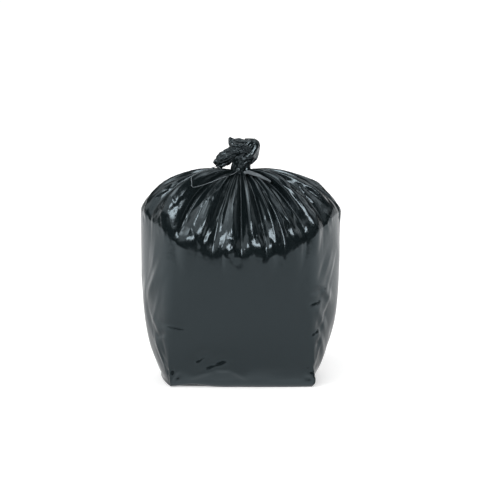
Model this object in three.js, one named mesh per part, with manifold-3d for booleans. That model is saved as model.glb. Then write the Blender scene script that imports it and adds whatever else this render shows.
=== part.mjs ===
// A full bin bag: a black gusseted refuse sack that stands on its base, tied off with a knot in its own neck.
// Millimetres, +Z up. The front panel faces -Y, and the origin is the middle of the base on the floor.
import * as THREE from "three";
import { mergeVertices } from "three/addons/utils/BufferGeometryUtils.js";
import Module from "manifold-3d";

// Driving dimensions of the filled sack.
const PANEL_WIDTH = 440; // front and back panels, between their gusset folds
const PANEL_SHIFT = 9; // how far the front panel sits to the right of the back one
const PANEL_CROWN = 28; // bow of each panel at its widest
const FOLD_DEPTH = 262; // from the front folds to the back folds, high on the sack
const GUSSET_BULGE = 89; // how far a gusset stands out past its folds, high on the sack
const LEFT_ROUNDNESS = 0.65; // 0 for a gusset that stands out as a ridge, 1 for one that is evenly bowed
const RIGHT_ROUNDNESS = 0.45;
const RIDGE_ROUNDING = 0.1; // how blunt that ridge is, as a share of half the gusset

// The foot of the sack, where the gussets close towards the bottom seal.
const FOOT_DEPTH = 214; // between the front and back folds at the foot
const FOOT_CROWN = 7;
const LEFT_FOOT_BULGE = 31; // how far each gusset stands out there
const RIGHT_FOOT_BULGE = 12;
const HEM_HEIGHT = 12; // the sealed hem stands just off the floor
const BASE_INSET = 24; // from the hem in to the flat base
const EAR_LENGTH = 15; // pointed corner at each end of the bottom seal, on the front hem
const LEFT_EAR_DROP = 9; // how far each ear's tip hangs below the hem
const RIGHT_EAR_DROP = 2;

// Heights of the wall's top, where the film turns over towards the neck.
const PANEL_SHOULDER = 426; // at the middle of a panel
const FOLD_SHOULDER = 498; // at a gusset fold
const GUSSET_SHOULDER = 528; // at the middle of a gusset

// The crown, gathered to the neck.
const NECK_HEIGHT = 652;
const NECK_RADIUS = 21;
const SHOULDER_ROUNDING = 0.34; // share of the climb to the neck that carries straight on up the wall
const LEFT_CROWN_REACH = 0.69; // share of the run to the neck that stays high, over each gusset
const RIGHT_CROWN_REACH = 0.55;
const CROWN_LIFT = 0.05; // rise round the neck's dimple, as a share of the run

// The same shares at the middle of the front and the back, where the crown is a straighter slope.
const SLOPE_ROUNDING = 0.15;
const SLOPE_REACH = 0.46;
const SLOPE_LIFT = -0.16;

// The ridges and valleys of the gathered crown: how far across its panel each lies, from the fold that the panel
// starts with, and how far it stands out of the crown's mean form. A valley is negative.
const FRONT_PLEATS = [
  [0, 2], [0.07, -9], [0.18, 9], [0.31, -9], [0.43, 8], [0.5, -14],
  [0.59, 9], [0.665, -8], [0.745, 9], [0.8, -4], [0.86, 10], [0.91, -10],
];
const RIGHT_PLEATS = [[0, 8], [0.1, -8], [0.25, 9], [0.42, -7], [0.55, 8], [0.7, -8], [0.86, 8]];
const BACK_PLEATS = [
  [0, -8], [0.12, 9], [0.24, -9], [0.36, 9], [0.47, -10], [0.6, 8], [0.7, -8], [0.8, 9], [0.9, -9],
];
const LEFT_PLEATS = [[0, 9], [0.16, -8], [0.32, 8], [0.48, -8], [0.66, 9], [0.8, -7], [0.92, 9]];
const PLEAT_START = 0; // where the pleats start, as a share of the way from the shoulder to the neck
const PLEAT_FADE = 0.3; // share of the way over which they grow
const PLEAT_PINCH = 0.16; // greatest depth, as a share of the distance from the neck's axis

// The crown's gathers run on up the knot's stem.
const COLLAR_HEIGHT = 16;
const COLLAR_TAPER = 0.8; // radius at the collar's top, as a share of the neck's

// The knot's three bundles of film. Each station is a place from the middle of the neck, the bundle's width
// square to its route and its thickness front to back.
const STEM = [ // the twisted neck, which swells into a lobe on the right
  [0, 0, -16, 58, 52],
  [2, 0, 12, 56, 50],
  [5, 0, 32, 54, 50],
  [20, 0, 54, 68, 56],
  [26, 0, 74, 62, 54],
  [28, 0, 90, 48, 44],
  [28, 0, 99, 22, 20],
];
const BAR = [ // the turned-over band along the top, which ends in a pointed corner on the left
  [44, -2, 63, 24, 34],
  [38, -4, 80, 30, 40],
  [16, -4, 83, 31, 42],
  [-8, 0, 83, 31, 36],
  [-22, 0, 86, 28, 26],
  [-32, 0, 98, 7, 8],
];
const TAIL = [ // the end of the neck, which passes in front of the stem and falls to the left onto the crown
  [34, -14, 58, 24, 30],
  [12, -22, 63, 34, 34],
  [-14, -18, 58, 38, 36],
];
const TAIL_END = [ // its end, whose heights are above the crown that it lies on
  [-40, -8, 37, 40, 38],
  [-62, -3, 25, 34, 34],
  [-84, 0, 12, 20, 22],
];
const STEM_TWIST = 1.6; // radians
const BAR_TWIST = 0.8;
const TAIL_TWIST = 1.8;

// The folds of film bunched in the knot.
const BUNDLE_RIDGES = 5;
const BUNDLE_RIDGE_DEPTH = 0.1; // as a share of the radius

// How soon the sack fills out above its foot: 1 for an even taper, more for a fuller one.
const GUSSET_FULLNESS = 4.5;
const PANEL_FULLNESS = 1.5;

// Steps of the mesh.
const WALL_ROWS = 11;
const WALL_ROW_GROWTH = 1.4; // rows are closer near the foot, where the gussets open fastest
const CROWN_ROWS = 15;
const BUNDLE_COLUMNS = 5 * BUNDLE_RIDGES;
const BUNDLE_ROWS = 18;
const PLEAT_COLUMNS = 4; // between a ridge and the next valley
const CURVE_HALVINGS = 40; // to find a place on a curve

const FILM = new THREE.MeshStandardMaterial({ color: 0x14181a, roughness: 0.24, metalness: 0 });

const mix = THREE.MathUtils.lerp;
const ramp = THREE.MathUtils.smoothstep;
const bow = (q) => 1 - (2 * q - 1) ** 2; // 0 at both ends of a panel, 1 at its middle
const swell = (h) => 1 - (1 - h) ** GUSSET_FULLNESS; // how the gussets stand out from the foot to the shoulder
const lean = (h) => 1 - (1 - h) ** PANEL_FULLNESS; // how the flat panels move apart, more evenly

// The four panels in order round the sack, anticlockwise from above. A share q runs from 0 to 1 across each.
const RIGHT_GUSSET = {
  isGusset: true, side: 1, way: 1, pleats: RIGHT_PLEATS,
  roundness: RIGHT_ROUNDNESS, footBulge: RIGHT_FOOT_BULGE, reach: RIGHT_CROWN_REACH,
};
const LEFT_GUSSET = {
  isGusset: true, side: -1, way: -1, pleats: LEFT_PLEATS,
  roundness: LEFT_ROUNDNESS, footBulge: LEFT_FOOT_BULGE, reach: LEFT_CROWN_REACH,
};
const PANELS = [
  { isGusset: false, side: -1, way: 1, pleats: FRONT_PLEATS },
  RIGHT_GUSSET,
  { isGusset: false, side: 1, way: -1, pleats: BACK_PLEATS },
  LEFT_GUSSET,
];

// How far a gusset stands out at share q across it, from 0 at its folds to 1 at its middle.
function gussetProfile(panel, q) {
  const drop = (share) => Math.hypot(share, RIDGE_ROUNDING) - RIDGE_ROUNDING;
  const ridge = 1 - drop(2 * q - 1) / drop(1);
  return mix(ridge, bow(q), panel.roundness);
}

// Plan position of the wall at share q of a panel and share h of the wall's height.
function wallPlan(panel, q, h) {
  const across = panel.way * mix(-1, 1, q);
  const halfDepth = mix(FOOT_DEPTH, FOLD_DEPTH, lean(h)) / 2;
  const shift = (y) => (-PANEL_SHIFT * y) / FOLD_DEPTH;
  if (panel.isGusset) {
    const y = across * halfDepth;
    const bulge = mix(panel.footBulge, GUSSET_BULGE, swell(h)) * gussetProfile(panel, q);
    return new THREE.Vector2(panel.side * (PANEL_WIDTH / 2 + bulge) + shift(y), y);
  }
  const crown = mix(FOOT_CROWN, PANEL_CROWN, lean(h)) * bow(q);
  const x = (across * PANEL_WIDTH) / 2 + shift(panel.side * halfDepth);
  return new THREE.Vector2(x, panel.side * (halfDepth + crown));
}

// Height of the wall's top at share q of a panel.
function shoulderHeight(panel, q) {
  return mix(FOLD_SHOULDER, panel.isGusset ? GUSSET_SHOULDER : PANEL_SHOULDER, bow(q));
}

// The upright lines of the sack, with flat flanks from each ridge of the crown to the next valley.
function makeColumns() {
  const columns = [];
  PANELS.forEach((panel, k) => {
    const [, nextFold] = PANELS[(k + 1) % PANELS.length].pleats[0];
    const edges = [...panel.pleats, [1, nextFold]];
    panel.pleats.forEach(([q, fold], i) => {
      const [endQ, endFold] = edges[i + 1];
      for (let step = 0; step < PLEAT_COLUMNS; step++) {
        const share = step / PLEAT_COLUMNS;
        const isCorner = i === 0 && step === 0;
        columns.push({ panel, q: mix(q, endQ, share), fold: mix(fold, endFold, share), isCorner });
      }
    });
  });
  return columns;
}

// The flat base on the floor.
function basePoint(column) {
  const plan = wallPlan(column.panel, column.q, 0);
  plan.setLength(plan.length() - BASE_INSET);
  return new THREE.Vector3(plan.x, plan.y, 0);
}

// The hem at the foot of the wall. Each front corner is drawn out to a pointed ear.
function hemPoint(column) {
  const plan = wallPlan(column.panel, column.q, 0);
  const isEar = column.isCorner && plan.y < 0;
  if (isEar) plan.x += Math.sign(plan.x) * EAR_LENGTH;
  const drop = plan.x < 0 ? LEFT_EAR_DROP : RIGHT_EAR_DROP;
  return new THREE.Vector3(plan.x, plan.y, HEM_HEIGHT - (isEar ? drop : 0));
}

function wallPoint(column, h) {
  const plan = wallPlan(column.panel, column.q, h);
  return new THREE.Vector3(plan.x, plan.y, mix(HEM_HEIGHT, shoulderHeight(column.panel, column.q), h));
}

// Share of the run to the neck that stays high at share q of a panel, the same on both sides of each fold.
function crownReach(panel, q) {
  if (panel.isGusset) return panel.reach;
  const rightward = panel.way > 0 ? q : 1 - q;
  return mix(mix(LEFT_GUSSET.reach, RIGHT_GUSSET.reach, rightward), SLOPE_REACH, bow(q));
}

// The film's mean form from the shoulder over to the neck: a curve in the upright plane through the neck's axis,
// of the distance from that axis and the height.
function crownCurve(column, radius) {
  const run = radius - NECK_RADIUS;
  const shoulder = shoulderHeight(column.panel, column.q);
  const steepness = column.panel.isGusset ? 0 : bow(column.q);
  const rounding = mix(SHOULDER_ROUNDING, SLOPE_ROUNDING, steepness);
  const reach = crownReach(column.panel, column.q);
  const lift = mix(CROWN_LIFT, SLOPE_LIFT, steepness);
  return new THREE.CubicBezierCurve(
    new THREE.Vector2(radius, shoulder),
    new THREE.Vector2(radius, mix(shoulder, NECK_HEIGHT, rounding)),
    new THREE.Vector2(NECK_RADIUS + run * reach, NECK_HEIGHT + run * lift),
    new THREE.Vector2(NECK_RADIUS, NECK_HEIGHT),
  );
}

// The crown with its ridges and valleys, at share t of the way to the neck.
function crownPoint(column, t) {
  const plan = wallPlan(column.panel, column.q, 1);
  const curve = crownCurve(column, plan.length());
  const point = curve.getPoint(t);
  const along = curve.getTangent(t);
  const most = PLEAT_PINCH * point.x;
  const grown = column.fold * ramp(t, PLEAT_START, PLEAT_START + PLEAT_FADE);
  const depth = THREE.MathUtils.clamp(grown, -most, most);
  point.add(new THREE.Vector2(along.y, -along.x).multiplyScalar(depth));
  plan.setLength(point.x);
  return new THREE.Vector3(plan.x, plan.y, point.y);
}

// Height of the crown's mean form at a distance to the left of the neck's axis.
function leftCrownHeight(distance) {
  const column = { panel: LEFT_GUSSET, q: 0.5 };
  const curve = crownCurve(column, wallPlan(LEFT_GUSSET, column.q, 1).length());
  let [low, high] = [0, 1];
  for (let i = 0; i < CURVE_HALVINGS; i++) {
    const t = (low + high) / 2;
    if (curve.getPoint(t).x > distance) low = t;
    else high = t;
  }
  return curve.getPoint(low).y;
}

// The gathers carry on a little way up, inside the stem's skin at the top.
function collarPoint(column) {
  const neck = crownPoint(column, 1);
  return new THREE.Vector3(COLLAR_TAPER * neck.x, COLLAR_TAPER * neck.y, NECK_HEIGHT + COLLAR_HEIGHT);
}

// A closed solid from rings of equal length, each anticlockwise seen from ahead, with a fan over each end.
function loft(rings) {
  const count = rings[0].length;
  const middle = (ring) => ring.reduce((sum, p) => sum.add(p), new THREE.Vector3()).divideScalar(count);
  const points = [...rings.flat(), middle(rings[0]), middle(rings.at(-1))];
  const foot = points.length - 2;
  const head = points.length - 1;
  const last = (rings.length - 1) * count;
  const faces = [];
  for (let i = 0; i < count; i++) {
    const next = (i + 1) % count;
    faces.push(foot, next, i, head, last + i, last + next);
    for (let row = 0; row < last; row += count) {
      const above = row + count;
      faces.push(row + i, row + next, above + next, row + i, above + next, above + i);
    }
  }
  return new THREE.BufferGeometry().setFromPoints(points).setIndex(faces);
}

function bodyGeometry() {
  const columns = makeColumns();
  const ring = (pointOf, share) => columns.map((column) => pointOf(column, share));
  const rings = [ring(basePoint), ring(hemPoint)];
  for (let i = 1; i < WALL_ROWS; i++) rings.push(ring(wallPoint, (i / WALL_ROWS) ** WALL_ROW_GROWTH));
  for (let i = 0; i <= CROWN_ROWS; i++) rings.push(ring(crownPoint, i / CROWN_ROWS));
  rings.push(ring(collarPoint));
  return loft(rings);
}

// A ring of bunched film round a point: an ellipse with folds, square to the direction along.
function bundleRing(centre, along, width, thickness, turn) {
  const depthWay = new THREE.Vector3(0, 1, 0);
  const widthWay = new THREE.Vector3().crossVectors(depthWay, along).normalize();
  return Array.from({ length: BUNDLE_COLUMNS }, (_, i) => {
    const angle = (2 * Math.PI * i) / BUNDLE_COLUMNS;
    const ridge = 1 + BUNDLE_RIDGE_DEPTH * Math.cos(BUNDLE_RIDGES * angle);
    return centre
      .clone()
      .addScaledVector(widthWay, (width / 2) * ridge * Math.cos(angle + turn))
      .addScaledVector(depthWay, (thickness / 2) * ridge * Math.sin(angle + turn));
  });
}

// A bundle of film through stations whose heights are above the floor.
function bundleGeometry(stations, twist) {
  const route = new THREE.CatmullRomCurve3(stations.map(([x, y, z]) => new THREE.Vector3(x, y, z)));
  const last = stations.length - 1;
  const rings = [];
  for (let i = 0; i <= BUNDLE_ROWS; i++) {
    const t = i / BUNDLE_ROWS;
    const before = Math.min(Math.floor(t * last), last - 1);
    const size = (k) => mix(stations[before][k], stations[before + 1][k], t * last - before);
    rings.push(bundleRing(route.getPoint(t), route.getTangent(t), size(3), size(4), twist * t));
  }
  return loft(rings);
}

const wasm = await Module();
wasm.setup();

function solid(geometry) {
  const merged = mergeVertices(geometry);
  const vertProperties = new Float32Array(merged.attributes.position.array);
  const triVerts = new Uint32Array(merged.index.array);
  return new wasm.Manifold(new wasm.Mesh({ numProp: 3, vertProperties, triVerts }));
}

// The body and the knot are one piece of film, so they join into one solid.
function bagGeometry() {
  const fromNeck = ([x, y, z, ...size]) => [x, y, NECK_HEIGHT + z, ...size];
  const fromCrown = ([x, y, z, ...size]) => [x, y, leftCrownHeight(-x) + z, ...size];
  const tail = [...TAIL.map(fromNeck), ...TAIL_END.map(fromCrown)];
  const joined = solid(bodyGeometry())
    .add(solid(bundleGeometry(STEM.map(fromNeck), STEM_TWIST)))
    .add(solid(bundleGeometry(BAR.map(fromNeck), BAR_TWIST)))
    .add(solid(bundleGeometry(tail, TAIL_TWIST)))
    .getMesh();
  const geometry = new THREE.BufferGeometry();
  geometry.setAttribute("position", new THREE.BufferAttribute(joined.vertProperties, 3));
  geometry.setIndex(new THREE.BufferAttribute(joined.triVerts, 1));
  geometry.computeVertexNormals();
  return geometry;
}

const binBag = new THREE.Mesh(bagGeometry(), FILM);
binBag.name = "bin_bag";
const box = new THREE.Box3().setFromObject(binBag);
binBag.position.set(-(box.min.x + box.max.x) / 2, -(box.min.y + box.max.y) / 2, 0);

const sack = new THREE.Group();
sack.add(binBag);

export default sack;
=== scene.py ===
"""Full bin bag: the black film of a gusseted refuse sack, its gathered crown and the knot in its neck."""
import math
from functools import partial
from typing import NamedTuple

import bpy
import numpy as np
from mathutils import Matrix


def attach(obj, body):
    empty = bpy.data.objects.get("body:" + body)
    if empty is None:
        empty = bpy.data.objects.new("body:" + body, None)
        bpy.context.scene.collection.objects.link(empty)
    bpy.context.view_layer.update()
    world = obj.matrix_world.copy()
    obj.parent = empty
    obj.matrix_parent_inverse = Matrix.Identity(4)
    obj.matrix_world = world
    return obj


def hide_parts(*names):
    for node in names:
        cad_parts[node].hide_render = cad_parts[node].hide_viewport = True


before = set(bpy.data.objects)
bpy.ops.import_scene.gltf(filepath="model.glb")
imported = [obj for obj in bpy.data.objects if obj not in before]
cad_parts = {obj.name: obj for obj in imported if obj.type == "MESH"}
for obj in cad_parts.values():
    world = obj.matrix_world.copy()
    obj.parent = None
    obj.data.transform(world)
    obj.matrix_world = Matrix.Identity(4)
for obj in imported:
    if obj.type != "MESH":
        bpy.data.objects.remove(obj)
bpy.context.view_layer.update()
MM = 0.001
TINY = 1e-9
SEED = 7

# Sizes of the filled sack that the film shares with the solid, in millimetres.
PANEL_WIDTH = 440  # front and back panels, between their gusset folds
PANEL_SHIFT = 9  # of the front panel to the right of the back one
PANEL_CROWN = 28  # bow of each panel at its widest
FOLD_DEPTH = 262  # front folds to back folds, high on the sack
GUSSET_BULGE = 89  # of a gusset past its folds, high on the sack
LEFT_ROUNDNESS = 0.65  # of a gusset: 0 for a ridge, 1 for an even bow
RIGHT_ROUNDNESS = 0.45
RIDGE_ROUNDING = 0.1  # how blunt that ridge is, as a share of half the gusset
FOOT_DEPTH = 214  # between the front and back folds at the foot
FOOT_CROWN = 7
LEFT_FOOT_BULGE = 31  # how far each gusset stands out there
RIGHT_FOOT_BULGE = 12
HEM_HEIGHT = 12  # the sealed hem stands just off the floor
GUSSET_SHOULDER = 528  # height of the wall at the middle of a gusset
NECK_HEIGHT = 652
NECK_RADIUS = 21
SHOULDER_ROUNDING = 0.34  # share of the climb that goes straight on up the wall
LEFT_CROWN_REACH = 0.69  # share of the run that stays high, over each gusset
RIGHT_CROWN_REACH = 0.55
CROWN_LIFT = 0.05  # rise round the neck's dimple, as a share of the run
SLOPE_REACH = 0.46  # the same two shares at the middle of a panel
SLOPE_LIFT = -0.16
COLLAR_HEIGHT = 16
COLLAR_TAPER = 0.8  # radius at the collar's top, as a share of the neck's
GUSSET_FULLNESS = 4.5  # how soon gussets and panels reach their full size
PANEL_FULLNESS = 1.5

# Sizes of the film's walls that the solid doesn't share.
PANEL_SHOULDER = 406  # height of the wall at the middle of a panel
FOLD_SHOULDER = 470  # and at a gusset fold
SHOULDER_FLATNESS = 4  # how level a panel's top edge stays
SHOULDER_EVENING = 25  # columns over which that edge is rounded off
SLOPE_ROUNDING = 0.2  # like SHOULDER_ROUNDING, at the middle of a panel
FOLD_EVENING = 11  # columns over which the gusset folds are rounded off
FOLD_EVENING_RISE = (0.1, 0.35)  # shares of the wall between which that sets in

# The film's base and hem, with the hem's front corners drawn out to ears.
BASE_INSET = 16  # from the wall in to the flat base
UNDERSIDE_INSET = BASE_INSET / 3  # and to the tucked underside
UNDERSIDE_HEIGHT = 1.2
BASE_LIFT = 9  # of the base's front edge near its left corner
BASE_LIFT_PLACE = -145
BASE_LIFT_SPREAD = 50
LEFT_EAR = -7  # how far each goes sideways: the left one is drawn in
RIGHT_EAR = 5
EAR_FORWARD = 5
EAR_SPREAD = 16
EAR_FADE = 26  # how fast an ear fades up the wall
HEM_LIFT = 7  # of the front hem, to the right of its left corner
HEM_LIFT_RISE = (-205, -130)
HEM_FRONT = 30  # how far back from the front edge a lift reaches
HEM_WAVES = ((1.6, 31, 0.6), (1.1, 13, 2))  # height, length for each radian, and phase
# Rings of the hem from below: share of the ears, height from the hem's own, and share of its waves.
HEM_RINGS = ((0.9, -3, 0.5), (1, 2, 1), (0.8, 7, 1))
BASE_ROWS = 2
HEM_ROWS = BASE_ROWS + len(HEM_RINGS)
EAR_ROW = BASE_ROWS + 1

# Steps of the film's grid.
PANEL_COLUMNS = 126
GUSSET_COLUMNS = 98
WALL_ROWS = 92
WALL_ROW_GROWTH = 1.25  # rows are closer near the foot
CROWN_ROWS = 116
COLLAR_ROWS = 3
CROWN_START = HEM_ROWS + WALL_ROWS - 1  # row where the crown starts
NECK_ROW = CROWN_START + CROWN_ROWS

# Main ridges and valleys of the crown, as in the solid: how far across its panel each lies and how far it
# stands out. A valley is negative.
PLEATS = {
    "front": (
        (0, 2), (0.07, -9), (0.18, 9), (0.31, -9), (0.43, 8), (0.5, -14),
        (0.59, 9), (0.665, -8), (0.745, 9), (0.8, -4), (0.86, 10), (0.91, -10),
    ),
    "right": ((0, 8), (0.1, -8), (0.25, 9), (0.42, -7), (0.55, 8), (0.7, -8), (0.86, 8)),
    "back": (
        (0, -8), (0.12, 9), (0.24, -9), (0.36, 9), (0.47, -10), (0.6, 8), (0.7, -8), (0.8, 9), (0.9, -9),
    ),
    "left": ((0, 9), (0.16, -8), (0.32, 8), (0.48, -8), (0.66, 9), (0.8, -7), (0.92, 9)),
}
PLEAT_START = 0.1  # where the pleats start, as a share of the way from the shoulder to the neck
PLEAT_FADE = 0.4  # share of the way over which they grow
PLEAT_PINCH = 0.16  # greatest depth of the crown's folds, as a share of their radius
PLEAT_SHARE = 0.5  # share of the pleats that the film keeps beside its own folds

# Broad lobes that the pleats' valleys leave between them. Starts, rise and fade are shares of the way up.
LOBE_DEPTH = 8
LOBE_HEIGHTS = (0.7, 1.2)
LOBE_STARTS = (-0.15, 0.0)
LOBE_RISE = 0.3
LOBE_FADE = (0.3, 0.9)
LOBE_TOP = 0.3  # share of its height that a lobe keeps at the neck
LOBE_LEVEL = 0.7  # height in a lobe's round that counts as level

# Long folds of the crown: where each starts and where it reaches the neck, as shares across the front panel
# (the left gusset is below 0 and the right one above 1), where it starts as a share of the way to the neck,
# its height, and the widths of its left and right flanks.
LONG_FOLDS = (
    (-0.45, -0.30, 0.15, 9, (30, 18)),
    (-0.12, -0.08, 0.05, 10, (14, 40)),
    (0.09, 0.14, -0.05, -10, (16, 24)),
    (0.23, 0.27, -0.02, 11, (30, 10)),
    (0.34, 0.38, 0.15, 9, (22, 9)),
    (0.50, 0.49, 0.00, -12, (14, 18)),
    (0.57, 0.55, 0.00, 10, (10, 34)),
    (0.67, 0.64, -0.05, -9, (20, 12)),
    (0.74, 0.70, 0.20, 8, (16, 30)),
    (0.86, 0.80, 0.00, 13, (26, 9)),
    (0.93, 0.88, 0.05, -12, (12, 26)),
    (1.05, 0.98, 0.45, 16, (40, 26)),
    (1.30, 1.12, 0.00, 10, (12, 40)),
    (1.55, 1.40, 0.10, 9, (16, 36)),
)
LONG_FOLD_FADES = (0.3, 0.01)  # shares of a fold's length over which its ends rise
NECK_OVERRUN = 1.2  # share of the slope where the folds end, past the neck

# Pillows of film along the shoulder: where the top of each swell lies, as shares like those of the long
# folds, half its width, how far it tapers below and above, and how far it stands out.
PILLOWS = (
    (0.14, 0.07, 38, (110, 44), 8),
    (0.43, 0.06, 28, (110, 40), 6),
    (0.64, 0.07, 44, (120, 46), 9),
    (0.85, 0.08, 38, (110, 44), 8),
    (1.02, 0.12, 30, (110, 44), 6),
)
PILLOW_POWER = 1.5

# Smaller folds left to chance: how many, and the ranges that they are drawn from. narrow and wide are widths
# of the flanks, and slant is the greatest run sideways for each millimetre up.
GATHERS = {
    "count": 52, "heights": (2, 6), "narrow": (5, 12), "wide": (14, 44), "fades": (0.4, 0.01),
    "unevenness": 0.6,  # of their spacing at the neck
    "drift": 26,  # from a gather's head to its foot, round the sack
    "starts": (-0.08, 0.05, 0.2, 0.4, 0.5),  # shares of the slope
    "signs": (1, 1, -1),  # two ridges for each valley
}
BUCKLES = {
    "count": 90, "lengths": (30, 110), "narrow": (5, 10), "wide": (10, 30), "slant": 0.7,
    "heights": (0.02, 0.05),  # shares of a buckle's length
    "lowest": -10,  # from the shoulder
    "highest": 0.8,  # share of the slope
}
CRINKLES = {
    "count": 320, "lengths": (22, 60), "heights": (0.4, 1.3), "narrow": (3, 6), "wide": (4, 9), "slant": 0.3,
    "up": (-20, 80),  # from the shoulder
}
CORNER_CRINKLES = {
    "count": 26, "lengths": (16, 44), "heights": (2, 5), "narrow": (5, 8), "wide": (6, 12), "slant": 0.8,
    "up": (14, 80),  # from the floor
    "spread": 26,  # how far to each side of a fold they lie
}
WRINKLES = {
    "lengths": (60, 170), "narrow": (12, 28), "wide": (20, 56), "slant": 0.5,
    "heights": (0.4, 1),  # shares of the greatest height on that wall
    "up": (20, FOLD_SHOULDER - 40),  # from the floor
}
GUSSET_WRINKLES = (14, 4.0)  # how many a wall has and their greatest height
PANEL_WRINKLES = (10, 0.5)
SLANTING_FADES = (0.5, 0.5)
FOLDS_RISE = (4, 24)  # heights above the floor between which the folds set in

# Creases of the gussets: from and to, as shares like those of the long folds and heights above the floor,
# then height and the widths of the two flanks.
GUSSET_CREASES = (
    ((-0.38, 230), (-0.02, 430), 6, (14, 34)),
    ((-0.10, 60), (-0.30, 190), 4, (16, 22)),
    ((1.02, 340), (1.30, 240), 5, (20, 14)),
    ((1.01, 260), (1.24, 150), 5, (18, 14)),
    ((1.01, 200), (1.28, 70), 4, (16, 12)),
    ((1.08, 310), (1.30, 450), 3, (16, 26)),
    ((-0.04, 120), (-0.34, 250), 3, (10, 18)),
    ((-0.02, 170), (-0.22, 150), -3, (10, 14)),
    ((-0.03, 40), (-0.20, 130), -3, (8, 14)),
    ((1.01, 110), (1.20, 180), -3, (10, 16)),
    ((1.02, 310), (1.16, 410), -2, (10, 16)),
)
GUSSET_CREASE_FADE = 0.5  # share of a crease's length over which each end rises

# Thin lines pressed into the gussets, placed like their creases.
GUSSET_LINES = (
    ((-0.32, 150), (-0.05, 340), 1.7, (6, 9)),
    ((-0.38, 270), (-0.12, 430), 1.6, (6, 9)),
    ((-0.08, 40), (-0.24, 150), 1.8, (6, 8)),
    ((-0.04, 60), (-0.14, 190), -1.6, (6, 8)),
    ((-0.18, 60), (-0.30, 210), -1.5, (6, 9)),
    ((1.05, 150), (1.30, 340), 1.7, (9, 6)),
    ((1.03, 90), (1.22, 270), -1.6, (9, 6)),
    ((1.10, 250), (1.36, 430), 1.6, (9, 6)),
    ((1.02, 200), (1.16, 330), 1.6, (8, 6)),
    ((1.02, 50), (1.18, 180), 1.7, (8, 6)),
)
GUSSET_LINE_FADE = 0.4

# Creases of the front panel: from and to, across from its middle and up from the floor, height and flanks.
FRONT_CREASES = (
    ((-240, 40), (-192, 60), -4.4, (16, 9)),
    ((-156, 76), (-84, 120), -5.7, (24, 13)),
    ((-128, 58), (-26, 106), -4.8, (30, 15)),
    ((-176, 22), (-76, 59), 3.6, (30, 10)),
    ((-88, 58), (-26, 58), 3.6, (30, 10)),
    ((-40, 59), (26, 22), 3.6, (30, 10)),
    ((60, 22), (200, 27), 1.6, (24, 8)),
    ((198, 65), (262, 57), -3.0, (20, 12)),
    ((190, 158), (266, 194), -2.9, (20, 13)),
    ((190, 258), (268, 284), -3.4, (16, 13)),
    ((204, 288), (268, 312), -3.2, (14, 12)),
    ((160, 300), (200, 360), -1.2, (12, 16)),
    ((-258, 202), (-146, 186), -3.3, (20, 12)),
    ((-8, 368), (-44, 424), -2.2, (9, 26)),
)
FRONT_CREASE_FADE = 0.35
PRESS_EVENING = 3  # grid steps over which the walls' creases are rounded off

# Thin folds of the crown: from and to, as shares like those of the long folds across and of the way to the
# neck, height and flanks.
CROWN_CREASES = (
    ((0.89, 0.05), (0.72, 0.88), 2.4, (12, 8)),
    ((0.82, 0.25), (0.75, 0.83), 1.8, (8, 12)),
    ((1.12, 0.23), (0.94, 0.69), 2.2, (12, 8)),
    ((0.24, 0.00), (0.38, 0.63), 2.4, (8, 12)),
    ((0.07, 0.23), (0.26, 0.72), 2.0, (10, 8)),
    ((0.05, -0.03), (0.11, 0.17), 1.8, (8, 8)),
    ((-0.36, 0.08), (-0.25, 0.44), 2.0, (10, 8)),
    ((0.63, 0.02), (0.60, 0.45), 1.8, (8, 12)),
    ((-0.04, 0.16), (0.04, 0.48), -1.5, (8, 14)),
    ((0.05, 0.18), (-0.07, 0.44), 1.3, (8, 10)),
    ((0.02, 0.30), (-0.16, 0.34), 1.1, (8, 8)),
)
CROWN_CREASE_FADE = 0.3

# How the film relaxes. Links join grid points some rows up and columns across, with a stiffness: round the
# sack, up it, and slanting both ways. A bending link spans two steps and only pushes.
LINKS = ((0, 1, 0.9), (1, 0, 0.9), (1, 1, 0.15), (1, -1, 0.15))
BEND_STIFFNESS = 0.08
BEND_SPAN = 0.95  # share of its two steps that a bending link keeps open
SLACK_SPAN = 9  # grid steps over which the folds' slack is shared out
HOLD = 0.02  # share of the way home that each point moves in a round
FILM_ROUNDS = 70
KNOT_ROUNDS = 40

# Stations of the knot's bundles of film: a place from the neck's axis and above the floor, the bundle's width
# and its thickness front to back.
STEM = (  # the twisted neck, which swells into a lobe on the right
    (0, 0, 636, 58, 52),
    (2, 0, 664, 56, 50),
    (5, 0, 684, 54, 50),
    (20, 0, 706, 68, 56),
    (29, 0, 727, 63, 54),
    (31, 0, 743, 50, 44),
    (31, 0, 750, 26, 22),
)
BAR = (  # the turned-over band along the top, which ends in a pointed corner on the left
    (45, -2, 717, 24, 34),
    (40, -4, 734, 28, 38),
    (16, -4, 733, 29, 42),
    (-8, 0, 732, 30, 36),
    (-23, 0, 738, 27, 26),
    (-33, 0, 754, 6, 7),
)
TAIL = (  # the end of the neck, which passes in front of the stem and falls to the left onto the crown
    (32, -16, 714, 22, 28),
    (11, -22, 721, 30, 32),
    (-12, -18, 719, 34, 34),
    (-34, -9, 700, 41, 36),
    (-58, -3, 682, 37, 34),
    (-75, 0, 669, 26, 26),
)
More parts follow.
